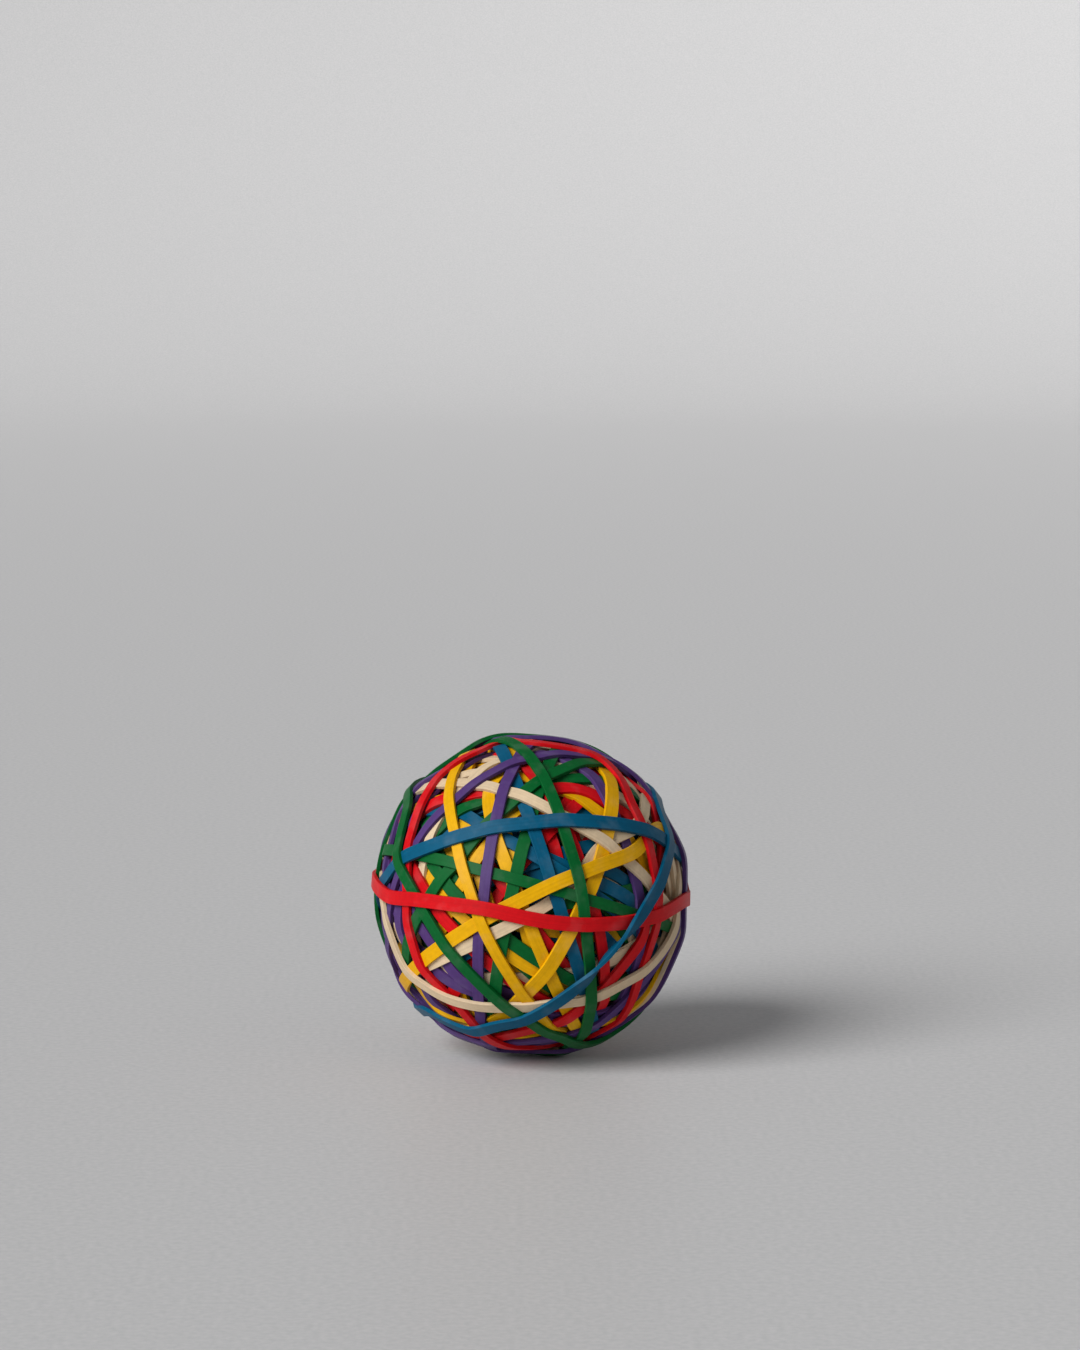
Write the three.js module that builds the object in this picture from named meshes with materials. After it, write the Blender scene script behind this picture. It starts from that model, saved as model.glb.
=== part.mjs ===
// Rubber band ball: a solid heart of tightly wound bands, with 59 coloured bands stretched over it.
// Units are millimetres, +Z is up, -Y is the front. The ball rests on the plane z = 0.
import * as THREE from 'three';

// Driving dimensions.
const HEART_RADIUS = 28.1; // the bands wound first, as one lump; the finished ball is 70 mm across
const BAND_THICKNESS = 1.0;
const SQUEEZED_THICKNESS = 0.35; // the least that a band is pressed to where others cross it
const AIR_GAP = 0.06; // left between a band and whatever it crosses

// Fineness of the mesh and of the winding.
const STATIONS = 32; // sections around one band
const HEART_DETAIL = 7; // subdivisions of the heart's icosahedron
const PROBES_ALONG = 12; // points tested along each length of a band that others cross
const PROBES_ACROSS = 4;
const PROBE_MARGIN = 0.15; // how far past its own edges a band looks for something to clear
const SWEEPS = 150; // passes over the stations of a band before it has settled
const LEAST_WEIGHT = 0.02; // a station this far from a probe leaves it to the next station

const RUBBER = {
  red: 0xc8262b,
  green: 0x0a7443,
  blue: 0x04618f,
  yellow: 0xdcae0a,
  purple: 0x553d78,
  cream: 0xd9cbb0,
};

// The bands in the order they were put on. Each row gives the colour and the width (a 1/8 inch band,
// the narrower the more it is stretched), then in degrees the two places that the band passes over,
// each as a longitude and a latitude on the ball (0 0 is the front, longitude grows to the right),
// how far the loop has slipped off the great circle through them, and how far it snakes from side to
// side on its way round. Where other bands have pushed it aside, a group of three follows: the angle
// round the loop from the first place, how far it is pushed there, and how far round that reaches.
const WINDING = [
  ['blue', 2.8, -20, 33, -7, 25, 0, 0],
  ['blue', 2.8, 10, 28, 26, 21, 0, 0],
  ['blue', 3.0, 7, 24, 29, 28, 0, 0],
  ['red', 2.6, -1, 56, 12, 20, 0, 0],
  ['red', 2.6, -17, 4, -12, 11, 0, 0],
  ['green', 2.8, 28, 8, 40, 9, 0, 0],
  ['blue', 3.0, 28, 13, 38, 7, 0, 0],
  ['blue', 2.6, -36, -20, -26, -14, 0, 0],
  ['red', 2.6, 6, -9, 10, -14, 0, 0],
  ['yellow', 2.6, -10, 29, -7, 18, 0, 0],
  ['yellow', 2.6, -27, 28, -20, 14, 0, 0],
  ['yellow', 2.8, 51, 21, 61, 3, 0, 0],
  ['cream', 3.0, -18, -24, 36, -16, 7, 0],
  ['green', 3.0, -9, -12, 0, -21, 0, 0],
  ['yellow', 2.6, -27, 14, -36, -5, 0, 0],
  ['yellow', 2.6, -43, 13, -26, 0, 0, 0],
  ['green', 2.8, -39, 16, -28, 8, 0, 0],
  ['blue', 2.8, -66, 38, -25, 35, 0, 0, [21, 2.5, 14]],
  ['yellow', 2.6, -63, 43, -26, 49, 0, 0],
  ['cream', 2.6, -76, 62, -54, 71, 0, 0, [3, 6.5, 12]],
  ['cream', 2.4, -41, 62, -71, 46, 0, 0, [34, -8, 14]],
  ['green', 2.8, 18, 57, 51, 53, 0, 0],
  ['red', 2.8, 17, 51, 38, 45, 0, 0, [8, 2.5, 12], [-52, 4.5, 14]],
  ['purple', 2.6, 38, 60, 41, 45, 0, 0, [7, 2, 12]],
  ['cream', 2.4, -47, 32, -49, 12, 0, 0],
  ['red', 2.8, -51, 14, -17, -17, -6, 0],
  ['red', 2.5, 24, 5, 36, -39, 0, 0],
  ['cream', 2.6, 71, 13, 64, -12, 0, 0, [10, 6, 12]],
  ['purple', 2.8, -44, -19, -24, -32, 0, 0],
  ['purple', 2.8, -59, 1, -57, -14, 0, 0],
  ['purple', 2.6, 13, -45, 51, -45, 7, 0],
  ['yellow', 2.6, -50, -47, 15, -59, 0, 0],
  ['yellow', 2.9, 0, -3, 11, -28, 0, 0, [-80, 15, 18]],
  ['green', 2.8, -3, 29, -15, -28, 0, 0],
  ['cream', 2.8, 6, 6, -36, -16, 3, 0, [-30, -7, 16], [-78, -15.5, 33]],
  ['blue', 2.8, -9, 54, 15, -9, 5, 0],
  ['yellow', 3.1, 15, -3, -14, -41, -5, 0],
  ['green', 2.7, -11, 44, 44, 63, 6, 0],
  ['cream', 2.6, -32, 52, 44, 17, 5, 3],
  ['red', 2.6, 43, -12, 31, -28, 0, 0],
  ['purple', 2.6, -78, 20, -67, -43, 0, 0, [-8, -6, 16], [24, -9, 12], [53, -8, 14]],
  ['purple', 2.6, -60, -66, 50, -71, 0, 0, [20, 5, 14]],
  ['green', 2.5, -43, 21, 34, 3, 0, 1],
  ['purple', 2.5, -15, 46, -22, -26, -4, -1],
  ['yellow', 3.1, -54, -23, 36, 21, -8, -3, [128, 7, 14]],
  ['purple', 2.3, 15, 70, -49, 33, -7, 0],
  ['yellow', 2.5, -39, 38, -7, -23, 0, 0],
  ['purple', 2.6, 70, -10, 56, -28, 10, 0],
  ['red', 2.5, -66, 46, -44, -25, 0, 0, [-30, 6, 15], [94, 3, 16]],
  ['red', 2.3, 58, 60, 53, -30, 2, 0, [-30, -9, 12], [2, 6.5, 12], [84, -3.5, 14]],
  ['cream', 2.8, 74, -22, 66, -38, 0, 0, [80, 22, 40]],
  ['cream', 2.5, -46, -30, 30, -30, 8, 2, [-36, 6, 14], [38, 3.5, 20], [96, -5, 18]],
  ['green', 2.5, 3, 62, 24, -25, 0, 0, [-42, -3, 14]],
  ['blue', 3.1, -56, 19, 41, 33, 4, 1],
  ['purple', 2.6, 110, 68, 88, 33, 0, 0, [-24, -4, 14], [28, 4, 14]],
  ['green', 2.4, -100, 58, -88, 36, 0, 0, [18, -4, 14], [95, -26, 48]],
  ['green', 2.6, -66, 24, -6, -38, -9, 0, [-14, 6, 20], [6, -2, 12], [124, -4, 12], [146, 10, 12]],
  ['red', 3.1, 15, -1, 70, 1, 3, 7, [-80, -3, 18], [-30, 1.5, 15], [78, -5, 16]],
  ['blue', 2.8, 43, 1, -27, -47, 5, 4, [-52, -6, 15], [45, 3.6, 20], [104, -7, 12]],
];

const degrees = (angle) => (angle * Math.PI) / 180;

function place(longitude, latitude) {
  const [lon, lat] = [degrees(longitude), degrees(latitude)];
  return new THREE.Vector3(Math.cos(lat) * Math.sin(lon), -Math.cos(lat) * Math.cos(lon), Math.sin(lat));
}

// A weighted sum of two vectors.
const mix = (a, weightA, b, weightB) => a.clone().multiplyScalar(weightA).addScaledVector(b, weightB);

// The closed line that a band follows round the ball. frame(turn) gives the three directions at an
// angle round the loop: out of the ball, along the band and across it.
class Route {
  constructor([, width, lonA, latA, lonB, latB, slip, snake, ...pushes]) {
    const start = place(lonA, latA);
    const end = place(lonB, latB);
    const between = mix(start, 1, end, 1).normalize();
    this.halfWidth = width / 2;
    this.slip = degrees(slip);
    this.snake = degrees(snake);
    this.pushes = pushes.map((push) => push.map(degrees));
    const lean = Math.sin(this.slip) / between.dot(start);
    const upright = new THREE.Vector3().crossVectors(start, end).normalize();
    this.axis = mix(between, lean, upright, Math.sqrt(1 - lean * lean));
    this.zero = mix(start, 1, this.axis, -Math.sin(this.slip)).normalize();
    this.quarter = new THREE.Vector3().crossVectors(this.axis, this.zero);
    this.span = Math.atan2(end.dot(this.quarter), end.dot(this.zero));
  }

  out(turn) {
    let aside = this.slip + this.snake * Math.sin(turn) * Math.sin(turn - this.span);
    for (const [at, size, reach] of this.pushes) {
      aside += size * Math.exp((2 * (Math.cos(turn - at) - 1)) / reach ** 2);
    }
    const flat = mix(this.zero, Math.cos(turn), this.quarter, Math.sin(turn));
    return mix(flat, Math.cos(aside), this.axis, Math.sin(aside));
  }

  frame(turn) {
    const out = this.out(turn);
    const along = this.out(turn + 0.001).sub(out).cross(out).cross(out).negate().normalize();
    return { out, along, across: new THREE.Vector3().crossVectors(out, along) };
  }

  // Where a point lies on the route: the angle round it, the height out of the ball and how far
  // the point is off to one side.
  locate(point) {
    let turn = Math.atan2(point.dot(this.quarter), point.dot(this.zero));
    let frame = this.frame(turn);
    turn += point.dot(frame.along) / point.length();
    frame = this.frame(turn);
    return { turn, height: point.dot(frame.out), aside: point.dot(frame.across) };
  }
}

const STEP = (2 * Math.PI) / STATIONS;

// Between two stations a band runs straight, so 1 / height changes there as
// (sin(STEP - t) / height0 + sin(t) / height1) / sin(STEP). Each probe near the band is then a limit
// on 1 / height at the stations either side of it: own * here + share * there against bound.
function stationLimits(route, probes, clearance) {
  const limits = Array.from({ length: STATIONS }, () => []);
  const reach = route.halfWidth + PROBE_MARGIN;
  for (const probe of probes) {
    if (Math.abs(probe.dot(route.axis)) > probe.length() / 2) continue;
    const { turn, height, aside } = route.locate(probe);
    if (Math.abs(aside) > reach) continue;
    const position = (turn / STEP + 2 * STATIONS) % STATIONS;
    const first = Math.floor(position);
    const second = (first + 1) % STATIONS;
    const weightA = Math.sin((1 - position + first) * STEP) / Math.sin(STEP);
    const weightB = Math.sin((position - first) * STEP) / Math.sin(STEP);
    const bound = 1 / (height + clearance);
    if (weightA > LEAST_WEIGHT) limits[first].push({ own: weightA, other: second, share: weightB, bound });
    if (weightB > LEAST_WEIGHT) limits[second].push({ own: weightB, other: first, share: weightA, bound });
  }
  return limits;
}

// The inner face of a tight band over everything already wound: each station settles as low as the
// probes below it and the pull of its two neighbours allow.
function innerHeights(route, probesBelow) {
  const limits = stationLimits(route, probesBelow, AIR_GAP);
  const bare = Math.cos(STEP / 2) / (HEART_RADIUS + AIR_GAP);
  const inverse = new Array(STATIONS).fill(bare / 2);
  for (let sweep = 0; sweep < SWEEPS; sweep++) {
    for (let i = 0; i < STATIONS; i++) {
      const before = inverse[(i + STATIONS - 1) % STATIONS];
      const after = inverse[(i + 1) % STATIONS];
      const straight = (before + after) / (2 * Math.cos(STEP));
      const allowed = limits[i].map(({ own, other, share, bound }) => (bound - share * inverse[other]) / own);
      const lowest = Math.min(bare, straight, ...allowed);
      inverse[i] += (lowest - inverse[i]) / 2;
    }
  }
  return inverse.map((value) => 1 / value);
}

// The outer face: full thickness where the band is free, squeezed thinner under the bands above it.
function outerHeights(route, inner, probesAbove) {
  const limits = stationLimits(route, probesAbove, -AIR_GAP);
  const inverse = inner.map((height) => 1 / (height + SQUEEZED_THICKNESS));
  for (let i = 0; i < STATIONS; i++) {
    const free = 1 / (inner[i] + BAND_THICKNESS);
    const allowed = limits[i].map(({ own, other, share, bound }) => (bound - share * inverse[other]) / own);
    inverse[i] = Math.min(inverse[i], Math.max(free, ...allowed));
  }
  return inverse.map((value) => 1 / value);
}

// One edge-to-edge line across the band at each station, at the given heights.
function faceLines(route, heights) {
  return heights.map((height, i) => {
    const { out, across } = route.frame(i * STEP);
    return [mix(out, height, across, -route.halfWidth), mix(out, height, across, route.halfWidth)];
  });
}

// Points spread over one face of a band.
function facePoints(lines) {
  return lines.flatMap(([left, right], i) => {
    const [nextLeft, nextRight] = lines[(i + 1) % lines.length];
    const points = [];
    for (let a = 0; a < PROBES_ALONG; a++) {
      const from = left.clone().lerp(nextLeft, a / PROBES_ALONG);
      const to = right.clone().lerp(nextRight, a / PROBES_ALONG);
      for (let b = 0; b <= PROBES_ACROSS; b++) points.push(from.clone().lerp(to, b / PROBES_ACROSS));
    }
    return points;
  });
}

// The band between its two faces, as one closed mesh with four corners at each station.
function ringGeometry(innerLines, outerLines) {
  const corners = innerLines.flatMap(([left, right], i) => [left, right, outerLines[i][1], outerLines[i][0]]);
  const index = [];
  for (let i = 0; i < STATIONS; i++) {
    const [here, next] = [4 * i, 4 * ((i + 1) % STATIONS)];
    for (let a = 0; a < 4; a++) {
      const b = (a + 1) % 4;
      index.push(here + a, next + b, next + a, here + a, here + b, next + b);
    }
  }
  const geometry = new THREE.BufferGeometry();
  geometry.setAttribute('position', new THREE.Float32BufferAttribute(corners.flatMap((c) => c.toArray()), 3));
  geometry.setIndex(index);
  return geometry;
}

function rubberMaterial(colour) {
  return new THREE.MeshStandardMaterial({ color: RUBBER[colour], roughness: 0.65, metalness: 0 });
}

function makeHeart() {
  const geometry = new THREE.IcosahedronGeometry(HEART_RADIUS, HEART_DETAIL);
  const heart = new THREE.Mesh(geometry, rubberMaterial('blue'));
  heart.name = 'inner_bands';
  return heart;
}

// Winds every band over the ones before it, then lets each swell as far as the ones after it leave
// room for.
function windBands(ball) {
  const below = [];
  const bands = WINDING.map((row) => {
    const route = new Route(row);
    const inner = innerHeights(route, below);
    const pressed = inner.map((height) => height + SQUEEZED_THICKNESS);
    below.push(...facePoints(faceLines(route, pressed)));
    return { route, inner, colour: row[0] };
  });
  const above = [];
  for (const band of bands.toReversed()) {
    band.innerLines = faceLines(band.route, band.inner);
    band.outerLines = faceLines(band.route, outerHeights(band.route, band.inner, above));
    above.push(...facePoints(band.innerLines));
  }
  bands.forEach(({ innerLines, outerLines, colour }, i) => {
    const band = new THREE.Mesh(ringGeometry(innerLines, outerLines), rubberMaterial(colour));
    band.name = `band_${String(i + 1).padStart(2, '0')}_${colour}`;
    ball.add(band);
  });
}

// Moves the ball so that its lowest point is on z = 0, with the middle of its box over the origin.
function setDown(ball) {
  const box = new THREE.Box3().setFromObject(ball);
  const middle = box.getCenter(new THREE.Vector3());
  for (const mesh of ball.children) mesh.geometry.translate(-middle.x, -middle.y, -box.min.z);
}

const ball = new THREE.Group();
ball.add(makeHeart());
windBands(ball);
setDown(ball);

export default ball;
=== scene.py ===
"""The looks of the rubber band ball: its bands wound again as soft, tight loops of rubber.

The routes and widths of the bands come from the CAD nodes. More bands are wound under them. Then all of
them settle together: each is a ribbon under tension, held up by what it crosses and pressed down by
what crosses it. Lengths are in millimetres until a mesh is made, except those of the camera and the
stage, which are in metres."""

import math

import bpy
import numpy as np
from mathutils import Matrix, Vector


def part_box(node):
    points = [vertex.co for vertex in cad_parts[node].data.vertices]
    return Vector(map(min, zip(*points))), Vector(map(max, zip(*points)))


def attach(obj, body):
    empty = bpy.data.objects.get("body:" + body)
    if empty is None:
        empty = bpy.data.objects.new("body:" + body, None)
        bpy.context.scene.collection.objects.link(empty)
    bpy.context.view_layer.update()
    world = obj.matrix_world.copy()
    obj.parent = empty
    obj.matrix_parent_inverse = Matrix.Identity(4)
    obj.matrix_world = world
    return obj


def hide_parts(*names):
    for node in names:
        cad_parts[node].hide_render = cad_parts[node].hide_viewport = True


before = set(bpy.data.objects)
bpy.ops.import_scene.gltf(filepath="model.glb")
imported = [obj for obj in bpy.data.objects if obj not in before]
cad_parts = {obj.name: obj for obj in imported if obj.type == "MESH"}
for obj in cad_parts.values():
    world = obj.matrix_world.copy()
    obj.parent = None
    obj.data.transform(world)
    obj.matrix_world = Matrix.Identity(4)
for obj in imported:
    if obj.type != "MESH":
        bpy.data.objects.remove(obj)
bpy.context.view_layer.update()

MM = 0.001
FULL_TURN = 2 * math.pi
SMALL_TURN = 1e-4  # a step along a route that is short enough to give its direction
SEED = 59

# The ball and its bands.
BALL_WIDTH = 69.8
BALL_HEIGHT = 71.2
BAND_THICKNESS = 0.88
EDGE_RADIUS = 0.12
OUTER_DETAIL = (320, 3)  # rings along a band, points round each corner of its section
INNER_DETAIL = (160, 2)
PATTERN_STEP = 40  # how far apart two bands are cut out of the pattern of the rubber

# The bands wound first, which show only through the gaps between the others.
INNER_BANDS = 60
INNER_WIDTH = 3.0
INNER_COLOURS = ("blue", "green", "yellow", "red", "green", "cream", "blue", "purple", "yellow", "red")
INNER_DRIFT = (0.03, 0.0, 0.0, 0.015, 0.015)  # the usual size of each wave of a route, in radians
PLACING_GRID = 14
PLACING_POINTS = 90
PLACING_TRIES = 250

# The heart of the ball, a lump of still older bands.
CORE_RADIUS = 26.0
CORE_BANDS = 46
CORE_RELIEF = 0.5
CORE_DETAIL = 6  # subdivisions of an icosahedron

# A place where a band has rolled onto its edge: the band, the longitude and latitude, how far it rolls
# and how far along the loop that reaches, in degrees.
ROLLS = (("band_59_blue", 30, -13, 72, 12),)

# The winding: how finely the bands are followed, and how tight and how soft they are.
STATIONS = 180
TRACE, TRACE_ACROSS = 720, 9
GRID = 92
SPAN_LIMIT = 0.1  # the cosine of the longest stretch that a band spans from one support
MID_RADIUS = 33.0
TENSION = 4.0
SOFTNESS = 0.54
TWIST_STIFFNESS = 0.3
FIRST_PITCH = 0.6
STEPS = 400
PACE = 0.4
MOMENTUM = 0.9
STIFF_LENGTH = 0.9

# The hands that turn the ball as it is wound keep it round: how finely and how sharply they feel it.
ROUNDING_POSTS = 500
ROUNDING_REACH = 0.22
ROUNDING_POWER = 40

# The camera and the stage, in metres and degrees. The ball's middle lies off the middle of the frame
# by these shares of the frame's width.
DISTANCE = 0.9
ELEVATION = 10.0
LENS = 134.5
BALL_LEFT = 0.0083
BALL_DOWN = 0.2032
FLOOR_RINGS = (0.4, 2.4)
FLOOR_BEND = 0.9
FLOOR_TURNS, BEND_POINTS = 96, 16

COLOURS = {
    "red": (0.560, 0.004, 0.008),
    "green": (0.0008, 0.096, 0.019),
    "blue": (0.0004, 0.080, 0.158),
    "yellow": (0.700, 0.360, 0.001),
    "purple": (0.074, 0.035, 0.148),
    "cream": (0.620, 0.475, 0.310),
}


def unit(vectors):
    return vectors / np.linalg.norm(vectors, axis=-1, keepdims=True)


def place(longitude, latitude):
    """The direction of a place on the ball; 0, 0 is its front."""
    lon, lat = math.radians(longitude), math.radians(latitude)
    return np.array([math.cos(lat) * math.sin(lon), -math.cos(lat) * math.cos(lon), math.sin(lat)])


def waves(turn, count):
    """The first few of 1, cos, sin, cos 2, sin 2 ... at each angle."""
    columns = [np.ones_like(turn)]
    for k in range(1, (count + 1) // 2):
        columns += [np.cos(k * turn), np.sin(k * turn)]
    return np.stack(columns, axis=1)


class Route:
    """The closed line that a band follows, as a direction from the middle of the ball for each angle
    round the loop: the great circle round axis, moved sideways by the angle that drift, the factors of
    the waves, gives."""

    def __init__(self, axis, drift=(0.0,), width=INNER_WIDTH):
        self.axis = unit(np.asarray(axis, float))
        self.zero = unit(np.cross(self.axis, np.eye(3)[np.abs(self.axis).argmin()]))
        self.quarter = np.cross(self.axis, self.zero)
        self.drift = np.asarray(drift, float)
        self.width = width

    def turn_at(self, directions):
        return np.arctan2(directions @ self.quarter, directions @ self.zero)

    def out(self, turn):
        aside = waves(turn, len(self.drift)) @ self.drift
        flat = np.outer(np.cos(turn), self.zero) + np.outer(np.sin(turn), self.quarter)
        return flat * np.cos(aside)[:, None] + np.outer(np.sin(aside), self.axis)

    def frame(self, turn):
        """The directions out of the ball and across the band."""
        out = self.out(turn)
        ahead = self.out(turn + SMALL_TURN) - self.out(turn - SMALL_TURN)
        return out, unit(np.cross(out, ahead))


def route_of(node, centre):
    """The route of a CAD band, from the four corners of each of its sections. The corners are sorted by
    the angle round the loop, from behind its widest gap on, so that every four in a row are a section."""
    corners = np.array([v.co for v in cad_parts[node].data.vertices]) / MM
    corners = np.unique(corners.round(4), axis=0) - centre
    circle = Route(np.linalg.svd(corners - corners.mean(axis=0))[2][2])
    turn = circle.turn_at(corners)
    order = turn.argsort()
    gaps = np.diff(turn[order], append=turn[order[0]] + FULL_TURN)
    sections = corners[np.roll(order, -1 - gaps.argmax())].reshape(-1, 4, 3)
    middles = unit(sections.mean(axis=1))
    turn = circle.turn_at(middles)
    fewer_waves = len(sections) - 3  # than sections, so that the line between them stays smooth
    drift = np.linalg.lstsq(waves(turn, fewer_waves), np.arcsin(middles @ circle.axis), rcond=None)[0]
    route = Route(circle.axis, drift)
    across = route.frame(turn)[1]
    route.width = np.ptp((sections * across[:, None]).sum(axis=2), axis=1).mean()
    return route


def cell_of(directions, grid):
    """The cell of the ball that each direction meets: a cube round it has grid x grid cells a face."""
    face = np.abs(directions).argmax(axis=-1)

    def side(k):
        return np.take_along_axis(directions, ((face + k) % 3)[..., None], axis=-1)[..., 0]

    lead = side(0)
    row, column = (
        np.clip(((np.arctan(side(k) / lead) * 2 / math.pi + 0.5) * grid).astype(int), 0, grid - 1)
        for k in (1, 2)
    )
    return ((2 * face + (lead > 0)) * grid + row) * grid + column


def inner_routes(outer, random):
    """Routes for the bands wound first: each goes where the ball is still thin, as a person does it."""
    turn = np.linspace(0, FULL_TURN, PLACING_POINTS, endpoint=False)
    layers = np.zeros(6 * PLACING_GRID**2)
    for route in outer:
        np.add.at(layers, cell_of(route.out(turn), PLACING_GRID), 1)
    routes = []
    for _ in range(INNER_BANDS):
        found = []
        for axis in unit(random.normal(size=(PLACING_TRIES, 3))):
            cells = cell_of(Route(axis).out(turn), PLACING_GRID)
            found.append(((layers[cells] ** 2).mean(), len(found), axis, cells))
        _, _, axis, cells = min(found)
        np.add.at(layers, cells, 1)
        routes.append(Route(axis, random.normal(scale=INNER_DRIFT)))
    return routes


class Pile:
    """Every band cut up over the cells of the ball. The places of all bands are sorted by cell, and
    from the inside out within a cell, so that each place lies on the one before it. The height of a
    place is a weighted mean of the band's two edges at the two stations next to it."""

    def __init__(self, routes):
        self.bands = len(routes)
        rows = [self.footprint(route) for route in routes]
        band = np.concatenate([np.full(len(row[0]), i) for i, row in enumerate(rows)])
        cell, position, share, direction = (np.concatenate(part) for part in zip(*rows))
        order = np.lexsort((band, cell))
        band, cell, position, share = band[order], cell[order], position[order], share[order]
        self.direction = direction[order]
        self.cell = cell
        station = position.astype(int)
        ahead = position - station
        near = (band * STATIONS + station) * 2
        far = (band * STATIONS + (station + 1) % STATIONS) * 2
        self.edges = np.stack([near, near + 1, far, far + 1], axis=1)
        self.weight = np.stack(
            [(1 - ahead) * (1 - share), (1 - ahead) * share, ahead * (1 - share), ahead * share], axis=1
        )
        same = cell[1:] == cell[:-1]
        self.lower = np.flatnonzero(same)
        self.lowest = np.flatnonzero(np.concatenate([[True], ~same]))
        self.highest = np.flatnonzero(np.concatenate([~same, [True]]))
        self.places = [np.flatnonzero(band == i) for i in range(self.bands)]

    @staticmethod
    def footprint(route):
        """The cells that a band covers, and the place on the band over each: the station, the share of
        the way across, and the direction."""
        out, across = route.frame(np.arange(TRACE) * FULL_TURN / TRACE)
        share = (np.arange(TRACE_ACROSS) + 0.5) / TRACE_ACROSS
        points = out[:, None] * MID_RADIUS + across[:, None] * ((share - 0.5) * route.width)[:, None]
        points = unit(points.reshape(-1, 3))
        cells, first = np.unique(cell_of(points, GRID), return_index=True)
        station = first // TRACE_ACROSS * (STATIONS / TRACE)
        return cells, station, share[first % TRACE_ACROSS], points[first]

    def levels(self, heights, places=slice(None)):
        """How high the inner face of the bands is at the given places."""
        return (heights.ravel()[self.edges[places]] * self.weight[places]).sum(axis=1)

    def wound_in_turn(self):
        """The height of each band's two edges, each band a stiff loop over the ones before it."""
        turn = np.arange(STATIONS) * FULL_TURN / STATIONS
        cosines = np.cos(turn[:, None] - turn[None])
        surface = np.full(6 * GRID * GRID, CORE_RADIUS)
        heights = np.zeros((self.bands, STATIONS, 2))
        for i, places in enumerate(self.places):
            under = np.full(STATIONS, CORE_RADIUS)
            cells = self.cell[places]
            station = self.edges[places, 0] // 2 % STATIONS
            np.maximum.at(under, station, surface[cells])
            np.maximum.at(under, (station + 1) % STATIONS, surface[cells])
            support = (cosines * under[:, None]).max(axis=0)
            near = cosines > SPAN_LIMIT
            spans = np.divide(support[None], cosines, out=np.full_like(cosines, np.inf), where=near)
            heights[i] = spans.min(axis=1)[:, None]
            surface[cells] = self.levels(heights, places) + FIRST_PITCH
        return heights

    def settle(self, heights):
        """Lets all bands find their rest: tension pulls each edge in and straight, and rubber that
        meets rubber pushes back."""
        step = FULL_TURN / STATIONS
        stretch = TENSION / 2 / (MID_RADIUS * step)
        edges = self.edges.ravel()
        give = np.bincount(edges, (self.weight**2).ravel(), heights.size).reshape(heights.shape)
        rate = PACE / (2 * stretch + 2 * SOFTNESS * give)
        speed = np.zeros_like(heights)
        for _ in range(STEPS):
            level = self.levels(heights)
            push = np.zeros(len(level))
            overlap = level[self.lower] + BAND_THICKNESS - level[self.lower + 1]
            squeeze = SOFTNESS * np.maximum(overlap, 0)
            push[self.lower] -= squeeze
            push[self.lower + 1] += squeeze
            push[self.lowest] += SOFTNESS * np.maximum(CORE_RADIUS - level[self.lowest], 0)
            force = np.bincount(edges, (push[:, None] * self.weight).ravel(), heights.size)
            bend = np.roll(heights, 1, axis=1) + np.roll(heights, -1, axis=1) - 2 * heights
            force = force.reshape(heights.shape) + stretch * bend - TENSION / 2 * step
            force += TWIST_STIFFNESS * (heights[..., ::-1] - heights)
            speed = MOMENTUM * speed + rate * force
            heights = heights + speed
        return heights

    def rounded(self, heights, routes):
        """The bands moved out or in, all alike in each part of the ball, until its outline is round. The
        posts are places spread evenly over the ball, and each feels the highest bands round it."""
        k = np.arange(ROUNDING_POSTS) + 0.5
        up = 1 - 2 * k / ROUNDING_POSTS
        level = np.sqrt(1 - up**2)
        golden = k * math.pi * (3 - math.sqrt(5))
        posts = np.stack([level * np.cos(golden), level * np.sin(golden), up], axis=1)
        sharpness = 1 / ROUNDING_REACH**2
        outline = self.levels(heights)[self.highest] + BAND_THICKNESS
        near = np.exp(sharpness * (posts @ self.direction[self.highest].T - 1))
        reach = ((near @ outline**ROUNDING_POWER) / near.sum(axis=1)) ** (1 / ROUNDING_POWER)
        gap = 1 / np.hypot(level / (BALL_WIDTH / 2), up / (BALL_HEIGHT / 2)) - reach
        moved = heights.copy()
        for i, route in enumerate(routes):
            out = route.out(np.arange(STATIONS) * FULL_TURN / STATIONS)
            share = np.exp(sharpness * (out @ posts.T - 1))
            moved[i] += (share @ gap / share.sum(axis=1))[:, None]
        return moved


def finer(values, count):
    """A closed line of values with more points, smoothed a little because rubber resists sharp bends."""
    spectrum = np.fft.rfft(values, axis=0)
    k = np.arange(len(spectrum))
    soften = np.exp(-((k * STIFF_LENGTH / MID_RADIUS) ** 2) / 2)
    return np.fft.irfft(spectrum * soften[:, None], count, axis=0) * (count / len(values))


def section(width, corner_points):
    """The outline of a band cut across, with round corners: its points and outward directions, each
    (across, out), from the lower right corner round."""
    half, r = width / 2 - EDGE_RADIUS, EDGE_RADIUS
    points, normals = [], []
    top = BAND_THICKNESS - r
    for k, middle in enumerate([(half, r), (half, top), (-half, top), (-half, r)]):
        for a in np.radians(np.linspace(-90, 0, corner_points) + 90 * k):
            normals.append((math.cos(a), math.sin(a)))
            points.append(np.array(middle) + r * np.array(normals[-1]))
    return np.array(points), np.array(normals)


def roll_at(route, turn, name):
    """How far the band has rolled onto its edge at each angle, in radians."""
    roll = np.zeros_like(turn)
    for band, longitude, latitude, size, reach in ROLLS:
        if band == name:
            off = turn - route.turn_at(place(longitude, latitude))
            roll += math.radians(size) * np.exp(2 * (np.cos(off) - 1) / math.radians(reach) ** 2)
    return roll


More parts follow.
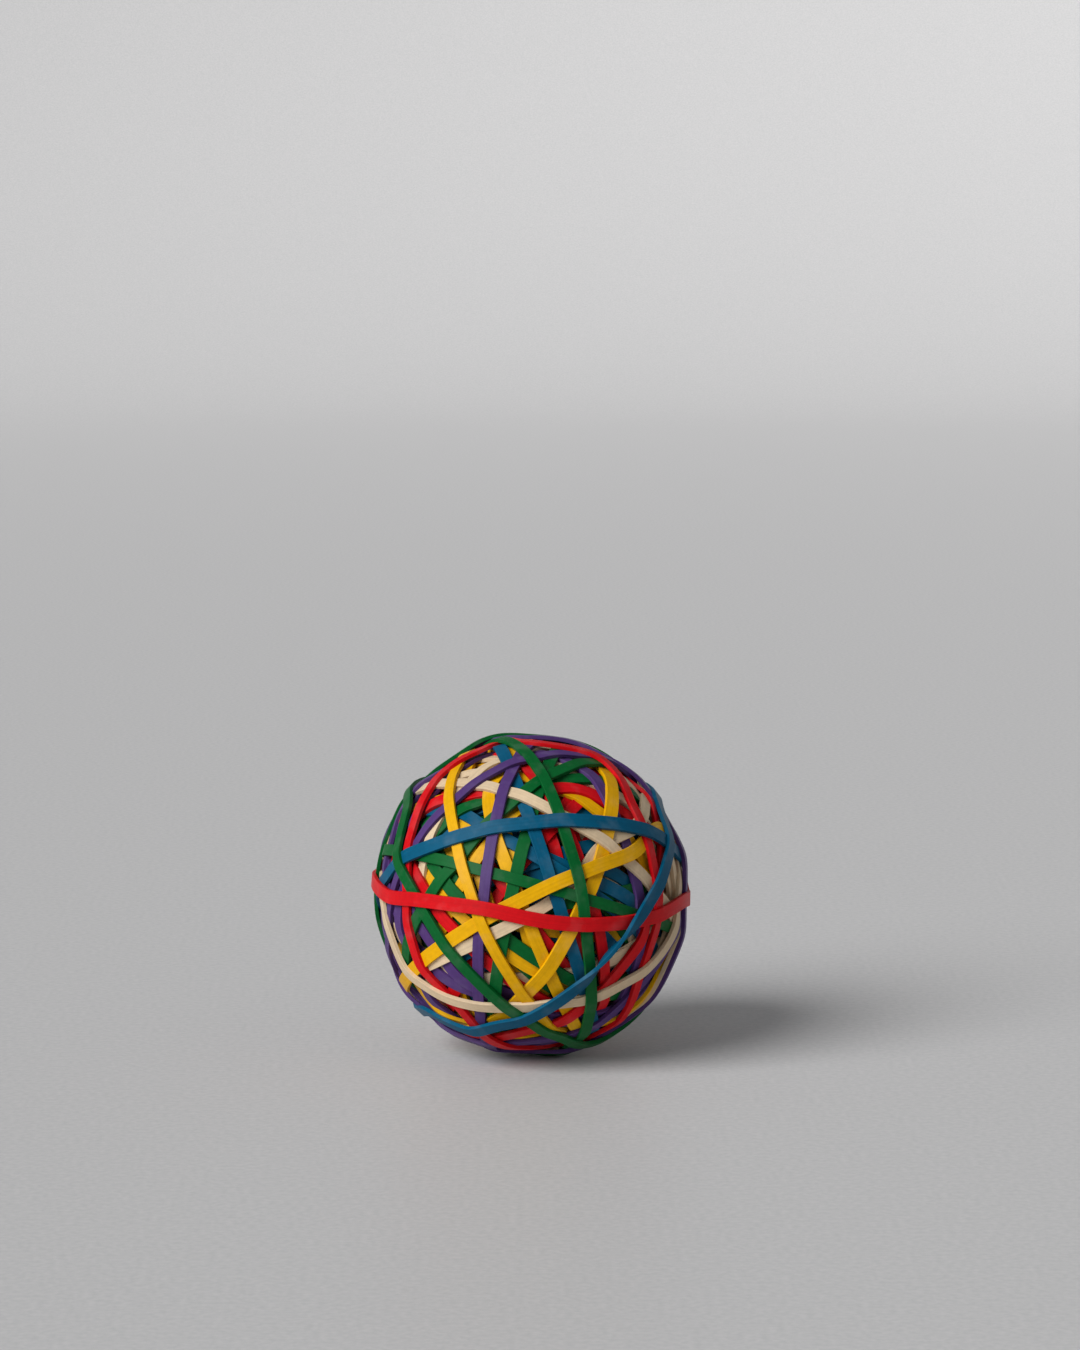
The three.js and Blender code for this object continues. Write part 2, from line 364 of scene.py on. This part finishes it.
def band_shape(route, heights, detail, number, name=""):
    """A band as points, normals, faces and the places of its faces' corners along and round it."""
    rings, corner_points = detail
    turn = np.arange(rings) * FULL_TURN / rings
    out, across = route.frame(turn)
    edges = finer(heights, rings)
    roll = roll_at(route, turn, name)
    tilt = (np.arctan2(edges[:, 1] - edges[:, 0], route.width) + roll)[:, None]
    sideways = across * np.cos(tilt) + out * np.sin(tilt)
    upright = out * np.cos(tilt) - across * np.sin(tilt)
    lift = edges.mean(axis=1) + np.abs(np.sin(roll)) * route.width / 4
    outline, outward = section(route.width, corner_points)
    middle = out * lift[:, None]
    points = middle[:, None] + sideways[:, None] * outline[:, :1] + upright[:, None] * outline[:, 1:]
    normals = sideways[:, None] * outward[:, :1] + upright[:, None] * outward[:, 1:]
    corners = len(outline)
    ring = np.arange(rings)[:, None] * corners
    ahead = (ring + corners) % (rings * corners)
    corner = np.arange(corners)[None]
    beside = (corner + 1) % corners
    faces = np.stack([ring + corner, ring + beside, ahead + beside, ahead + corner], axis=-1)
    steps = np.linalg.norm(np.roll(outline, -1, axis=0) - outline, axis=1)
    around = np.concatenate([[0], steps.cumsum()]) + number * PATTERN_STEP
    along = MID_RADIUS * (math.pi - np.abs(math.pi - np.linspace(0, FULL_TURN, rings + 1)))
    spots = np.zeros((rings, corners, 4, 2))
    spots[..., :2, 0] = along[:-1, None, None]
    spots[..., 2:, 0] = along[1:, None, None]
    spots[..., [0, 3], 1] = around[:-1, None]
    spots[..., [1, 2], 1] = around[1:, None]
    return points.reshape(-1, 3), normals.reshape(-1, 3), faces.reshape(-1, 4), spots.reshape(-1, 2)


def mesh_object(name, shapes, centre, material):
    """One object made of several bands."""
    starts = np.cumsum([0] + [len(shape[0]) for shape in shapes])
    points, normals, faces, spots = (
        np.concatenate([shape[k] + (start if k == 2 else 0) for shape, start in zip(shapes, starts)])
        for k in range(4)
    )
    mesh = bpy.data.meshes.new(name)
    mesh.from_pydata(((points + centre) * MM).tolist(), [], faces.tolist())
    mesh.polygons.foreach_set("use_smooth", np.ones(len(faces), bool))
    mesh.normals_split_custom_set_from_vertices(normals.tolist())
    mesh.uv_layers.new(name="along_and_round").uv.foreach_set("vector", spots.ravel())
    mesh.materials.append(material)
    thing = bpy.data.objects.new(name, mesh)
    bpy.context.scene.collection.objects.link(thing)
    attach(thing, "root")
    return thing


def make_core(centre, random, material):
    """The heart of the ball: a lump with the steps and edges of the flat bands that it is wound of."""
    bpy.ops.mesh.primitive_ico_sphere_add(subdivisions=CORE_DETAIL, radius=1)
    core = bpy.context.object
    core.name = "core_bands"
    directions = np.zeros(len(core.data.vertices) * 3)
    core.data.vertices.foreach_get("co", directions)
    directions = unit(directions.reshape(-1, 3))
    height = np.zeros(len(directions))
    for axis in unit(random.normal(size=(CORE_BANDS, 3))):
        off = np.abs(directions @ axis) * CORE_RADIUS
        on_band = off < INNER_WIDTH / 2
        rim = np.sqrt(np.clip((INNER_WIDTH / 2 - off) / EDGE_RADIUS, 0, 1))
        below = height[on_band]
        height[on_band] = below + (np.median(below) + CORE_RELIEF - below) * rim[on_band]
    height += CORE_RADIUS - height.max()
    core.data.vertices.foreach_set("co", ((directions * height[:, None] + centre) * MM).ravel())
    core.data.polygons.foreach_set("use_smooth", np.ones(len(core.data.polygons), bool))
    core.data.materials.append(material)
    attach(core, "root")
    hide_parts("inner_bands")


class Nodes:
    """Short ways to add shader nodes to a material and join them."""

    def __init__(self, name):
        self.material = bpy.data.materials.new(name)
        self.material.use_nodes = True
        self.tree = self.material.node_tree
        self.shader = self.tree.nodes["Principled BSDF"]

    def add(self, kind, settings=(), **inputs):
        node = self.tree.nodes.new("ShaderNode" + kind)
        for key, value in dict(settings).items():
            setattr(node, key, value)
        for key, value in inputs.items():
            self.feed(node.inputs[key.replace("_", " ")], value)
        return node

    def feed(self, socket, value):
        if isinstance(value, bpy.types.NodeSocket):
            self.tree.links.new(value, socket)
        else:
            socket.default_value = value

    def noise(self, vector, scale, detail=3.0):
        return self.add("TexNoise", Vector=vector, Scale=scale, Detail=detail).outputs["Fac"]

    def spread(self, value, low, high):
        """A value of about 0.3 to 0.7, as noise gives, spread from low to high."""
        node = self.add("MapRange", Value=value, From_Min=0.3, From_Max=0.7, To_Min=low, To_Max=high)
        return node.outputs["Result"]

    def sum(self, first, second):
        node = self.add("Math", {"operation": "ADD"})
        self.feed(node.inputs[0], first)
        self.feed(node.inputs[1], second)
        return node.outputs["Value"]

    def blend(self, share, first, second):
        node = self.add("Mix", {"data_type": "RGBA"}, Factor=share)
        self.feed(node.inputs["A"], first)
        self.feed(node.inputs["B"], second)
        return node.outputs["Result"]


def rubber(colour):
    """Matt rubber: faint streaks along the band from its making, mottling, and a dusting of talc. The
    streaks are noise over the band, per millimetre, and the rest is noise in space, per metre."""
    nodes = Nodes(colour + "_rubber")
    base = np.array(COLOURS[colour])
    spot = nodes.add("TexCoord").outputs["Object"]
    band = nodes.add("UVMap", {"uv_map": "along_and_round"}).outputs["UV"]
    stretched = nodes.add("Mapping", Vector=band, Scale=(0.04, 2.2, 1.0)).outputs["Vector"]
    streaks = nodes.noise(stretched, 1.0, 4.0)
    clouds = nodes.noise(spot, 70.0)
    mottle = nodes.noise(spot, 900.0)
    grain = nodes.noise(spot, 3500.0, 2.0)
    uneven = nodes.sum(nodes.spread(clouds, 0.0, 0.3), nodes.spread(mottle, 0.0, 0.3))
    tone = nodes.sum(nodes.spread(streaks, 0.0, 0.4), uneven)
    dark, light = base * 0.80, base * 1.18
    plain = nodes.blend(tone, (*dark, 1), (*light, 1))
    talc = nodes.spread(nodes.noise(spot, 220.0, 5.0), -0.05, 0.04)
    nodes.feed(nodes.shader.inputs["Base Color"], nodes.blend(talc, plain, (0.62, 0.62, 0.62, 1)))
    nodes.feed(nodes.shader.inputs["Roughness"], nodes.spread(clouds, 0.38, 0.52))
    relief = nodes.sum(nodes.spread(streaks, 0.0, 0.6), nodes.spread(grain, 0.0, 0.4))
    bump = nodes.add("Bump", Height=relief, Strength=0.35, Distance=0.03 * MM)
    nodes.feed(nodes.shader.inputs["Normal"], bump.outputs["Normal"])
    nodes.shader.inputs["Specular IOR Level"].default_value = 0.11
    return nodes.material


def make_stage():
    """A round pale floor that curves up into a low wall all round, well clear of the ball."""
    profile = [(radius, 0.0) for radius in FLOOR_RINGS]
    for a in np.linspace(0, math.pi / 2, BEND_POINTS)[1:]:
        profile.append((FLOOR_RINGS[-1] + FLOOR_BEND * math.sin(a), FLOOR_BEND * (1 - math.cos(a))))
    points = [(0.0, 0.0, 0.0)]
    for radius, height in profile:
        for k in range(FLOOR_TURNS):
            a = FULL_TURN * k / FLOOR_TURNS
            points.append((radius * math.cos(a), radius * math.sin(a), height))
    faces = [(0, 1 + k, 1 + (k + 1) % FLOOR_TURNS) for k in range(FLOOR_TURNS)]
    for i in range(len(profile) - 1):
        near, far = 1 + i * FLOOR_TURNS, 1 + (i + 1) * FLOOR_TURNS
        for k in range(FLOOR_TURNS):
            after = (k + 1) % FLOOR_TURNS
            faces.append((near + k, far + k, far + after, near + after))
    mesh = bpy.data.meshes.new("floor")
    mesh.from_pydata(points, [], faces)
    mesh.polygons.foreach_set("use_smooth", np.ones(len(faces), bool))
    floor = bpy.data.objects.new("floor", mesh)
    bpy.context.scene.collection.objects.link(floor)
    nodes = Nodes("floor")
    spot = nodes.add("TexCoord").outputs["Object"]
    speckle = nodes.spread(nodes.noise(spot, 700.0, 4.0), 0.0, 1.0)
    tone = nodes.blend(speckle, (0.53, 0.53, 0.53, 1), (0.61, 0.60, 0.60, 1))
    nodes.feed(nodes.shader.inputs["Base Color"], tone)
    nodes.shader.inputs["Roughness"].default_value = 0.5
    mesh.materials.append(nodes.material)


def make_lights():
    """Window light from the front left, a weak bounce from the right, and a little from all round."""
    for name, direction, spread, power in (
        ("window", (0.69, 0.60, -0.62), 38, 3.5),
        ("bounce", (-0.8, 0.5, -0.35), 60, 0.12),
    ):
        light = bpy.data.lights.new(name, "SUN")
        light.angle = math.radians(spread)
        light.energy = power
        lamp = bpy.data.objects.new(name, light)
        lamp.rotation_euler = Vector(direction).to_track_quat("-Z", "Y").to_euler()
        bpy.context.scene.collection.objects.link(lamp)
    world = bpy.data.worlds.new("studio")
    world.use_nodes = True
    sky = world.node_tree.nodes["Background"]
    sky.inputs["Color"].default_value = (0.95, 0.97, 1.0, 1)
    sky.inputs["Strength"].default_value = 0.19
    bpy.context.scene.world = world
    bpy.context.scene.view_settings.view_transform = "Standard"


def make_camera(middle):
    """The camera looks along +Y and down. The ball is below the middle of the frame."""
    camera = bpy.data.cameras.new("camera")
    camera.sensor_fit = "HORIZONTAL"
    camera.lens = LENS
    thing = bpy.data.objects.new("camera", camera)
    bpy.context.scene.collection.objects.link(thing)
    down = math.radians(ELEVATION)
    thing.location = middle + DISTANCE * Vector((0, -math.cos(down), math.sin(down)))
    aside = math.atan(BALL_LEFT * camera.sensor_width / LENS)
    raised = math.atan(BALL_DOWN * camera.sensor_width / LENS)
    thing.rotation_euler = (math.pi / 2 - down + raised, 0, -aside)
    bpy.context.scene.camera = thing


def main():
    low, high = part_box("inner_bands")
    centre = np.array(low + high) / 2 / MM
    names = sorted(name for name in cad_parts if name.startswith("band_"))
    random = np.random.default_rng(SEED)
    outer = [route_of(name, centre) for name in names]
    routes = inner_routes(outer, random) + outer
    pile = Pile(routes)
    heights = pile.settle(pile.wound_in_turn())
    heights = pile.rounded(heights, routes)

    first = len(routes) - len(outer)
    shapes = [band_shape(routes[i], heights[i], INNER_DETAIL, i) for i in range(first)]
    for i, name in enumerate(names, first):
        shapes.append(band_shape(routes[i], heights[i], OUTER_DETAIL, i, name))
    centre[2] = -min(shape[0][:, 2].min() for shape in shapes)

    materials = {colour: rubber(colour) for colour in COLOURS}
    for name, shape in zip(names, shapes[first:]):
        colour = name.split("_")[-1]
        band = mesh_object("soft_" + name, [shape], centre, materials[colour])
        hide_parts(name)
    for colour in COLOURS:
        chosen = [i for i in range(first) if INNER_COLOURS[i % len(INNER_COLOURS)] == colour]
        bands = mesh_object(f"inner_{colour}_bands", [shapes[i] for i in chosen], centre, materials[colour])
        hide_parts("inner_bands")
    # The heart is all of the darkest rubber, the purple: a real band colour, but chosen for its darkness,
    # so it adds painted shade in the deep gaps between the bands.
    make_core(centre, random, materials["purple"])
    make_stage()
    make_lights()
    make_camera(Vector(centre * MM))


main()
